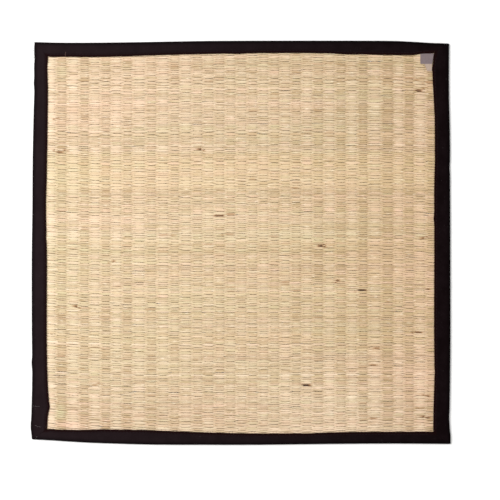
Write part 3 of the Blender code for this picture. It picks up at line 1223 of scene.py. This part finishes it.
def label_mesh():
    """The ribbon's closed mesh: its wavy face, the same face below and the rim between."""
    rows = label_lines()
    across = np.linspace(0, 1, LABEL_ACROSS)
    x = rows[:, 1:2] + (rows[:, 2:3] - rows[:, 1:2]) * across
    y = np.broadcast_to(rows[:, :1], x.shape)
    spots = np.stack([x, y, np.zeros_like(x)], axis=-1).reshape(-1, 3)
    wave = LABEL_WAVE * rippled(spots, LABEL_WAVE_LENGTH, 3).reshape(x.shape)
    curl = LABEL_CURL * (1 - (y - y.min()) / (y.max() - y.min())) ** 3
    top = np.stack([x, y, LABEL_LEVEL + LABEL_THICK / 2 + wave + curl], axis=-1)
    bottom = top - (0, 0, LABEL_THICK)
    count, wide = x.shape
    places = np.arange(count * wide).reshape(count, wide)
    quads = [places[:-1, :-1], places[1:, :-1], places[1:, 1:], places[:-1, 1:]]
    quads = np.stack(quads, axis=-1).reshape(-1, 4)
    under = count * wide
    rim = np.array([*places[:, 0], *places[-1, 1:], *places[-2::-1, -1], *places[0, -2:0:-1]])
    after = np.roll(rim, -1)
    walls = np.stack([rim, rim + under, after + under, after], axis=-1)
    faces = [*quads.tolist(), *(quads[:, ::-1] + under).tolist(), *walls.tolist()]
    return np.concatenate([top.reshape(-1, 3), bottom.reshape(-1, 3)]), faces


FACE_DARK = (0.117, 0.088, 0.092, 1)
FACE_PALE = (0.184, 0.136, 0.142, 1)
TURNED_DARK = (0.29, 0.212, 0.165, 1)
TURNED_PALE = (0.415, 0.316, 0.248, 1)


def label_finish():
    """Grey-mauve ribbon, ribbed across, with a paler turned end."""
    ribbon = Finish("label_ribbon", 0.6)
    places = ribbon.node("ShaderNodeTexCoord", None, None, "Object")
    settings = {"bands_direction": "Y", "wave_profile": "SIN"}
    sockets = {"Vector": places, "Scale": 700.0, "Distortion": 0.3}
    rib = ribbon.node("ShaderNodeTexWave", settings, sockets, "Fac")
    fibre = ribbon.grain(places, (900, 300, 300), 3.0)
    face = ribbon.mix(fibre, FACE_DARK, FACE_PALE)
    turned = ribbon.mix(fibre, TURNED_DARK, TURNED_PALE)
    up = ribbon.node("ShaderNodeSeparateXYZ", None, {"Vector": places}, "Y")
    on_face = up.above(LABEL_FACE_ENDS, 0.2 * MM)
    ribbon.feed("Base Color", ribbon.mix(on_face, turned, face))
    ribbon.bump(rib * 0.7 + fibre * 0.3, 0.5, 0.1 * MM)
    return ribbon.material


def sew_label():
    points, faces = label_mesh()
    piece = new_piece("label_ribbon", points, faces, label_finish(), "label")
    widths = [line.right - line.left for line in LABEL_LINES]
    drops = [upper.y - lower.y for upper, lower in zip(LABEL_LINES, LABEL_LINES[1:])]
    parts = [drop * (a + b) / 2 for drop, a, b in zip(drops, widths, widths[1:])]
    area = sum(parts) * MM * MM
    flat = (max(widths) * MM, sum(drops) * MM)


sew_label()


# Loose ends: a brown thread end that has come up over the top tape near the left corner, a
# scrap of pale thread and two hairs of lint at the lower left corner, and short black frays
# on the left tape's folded edge, near its top.
THREAD_SIDES = 6
LOOSE_END_RADIUS = 0.15 * MM
LOOSE_END = [
    (-252.9, 275.0, 5.3),
    (-253.3, 273.0, 5.5),
    (-253.4, 271.0, 5.5),
    (-253.1, 269.0, 5.35),
    (-252.3, 267.2, 4.9),
]
SCRAP_RADIUS = 0.2 * MM
SCRAP = [(-295.0, -280.4, 5.4), (-294.4, -279.7, 5.55), (-293.8, -280.2, 5.4)]
LINT_RADIUS = 0.08 * MM
LINT = [
    [(-299.5, -235.2, 5.35), (-296.0, -235.9, 5.4), (-290.5, -236.2, 5.35)],
    [(-297.0, -263.5, 5.35), (-293.0, -265.2, 5.4), (-288.5, -265.8, 5.35)],
]
FRAY_RADIUS = 0.22 * MM
FRAY_PLACES = (289, 284, 281, 277, 272, 268, 263, 259)
FRAY_LENGTHS = (0.8, 1.8)
FRAY_LEVELS = (2.6, 4.4)
FRAY_ROOT = 0.8 * MM
FRAY_DROP = 0.5 * MM
FRAY_SHARES = (0.0, 0.35, 0.7, 1.0)
BROWN_THREAD = [(0.13, 0.07, 0.055, 1), (0.30, 0.18, 0.14, 1)]
GREY_LINT = [(0.13, 0.12, 0.115, 1), (0.34, 0.32, 0.31, 1)]


def fray_paths():
    """Short bent ends of cloth thread that stand out of the left tape's folded edge."""
    paths = []
    left = SIDES[2]
    for place in FRAY_PLACES:
        y = place * MM
        edge = -outer_reach(left, y)
        length = draw.uniform(*FRAY_LENGTHS) * MM
        lean = draw.uniform(-1, 1) * length
        level = draw.uniform(*FRAY_LEVELS) * MM
        path = []
        for share in FRAY_SHARES:
            x = edge + FRAY_ROOT - (length + FRAY_ROOT) * share
            path.append((x, y + lean * share ** 2, level - FRAY_DROP * share))
        paths.append(path)
    return paths


def loose_finish(name, dark, pale):
    """Loose thread or lint, mottled along its twist."""
    loose = Finish(name, 0.9)
    places = loose.node("ShaderNodeTexCoord", None, None, "Object")
    twist = loose.grain(places, (900, 900, 900), 3.0)
    loose.feed("Base Color", loose.mix(twist, dark, pale))
    return loose.material


brown = loose_finish("brown_thread", *BROWN_THREAD)
grey = loose_finish("grey_lint", *GREY_LINT)
points, faces = tubes([np.array(LOOSE_END) * MM], LOOSE_END_RADIUS, THREAD_SIDES)
new_piece("loose_end", points, faces, brown, "binding_top")
points, faces = tubes([np.array(SCRAP) * MM], SCRAP_RADIUS, THREAD_SIDES)
new_piece("loose_scrap", points, faces, grey, "binding_left")
points, faces = tubes(np.array(LINT) * MM, LINT_RADIUS, THREAD_SIDES)
new_piece("lint", points, faces, grey, "binding_left")
points, faces = tubes(fray_paths(), FRAY_RADIUS, THREAD_SIDES)
new_piece("frays", points, faces, BLACK_THREAD, "binding_left")
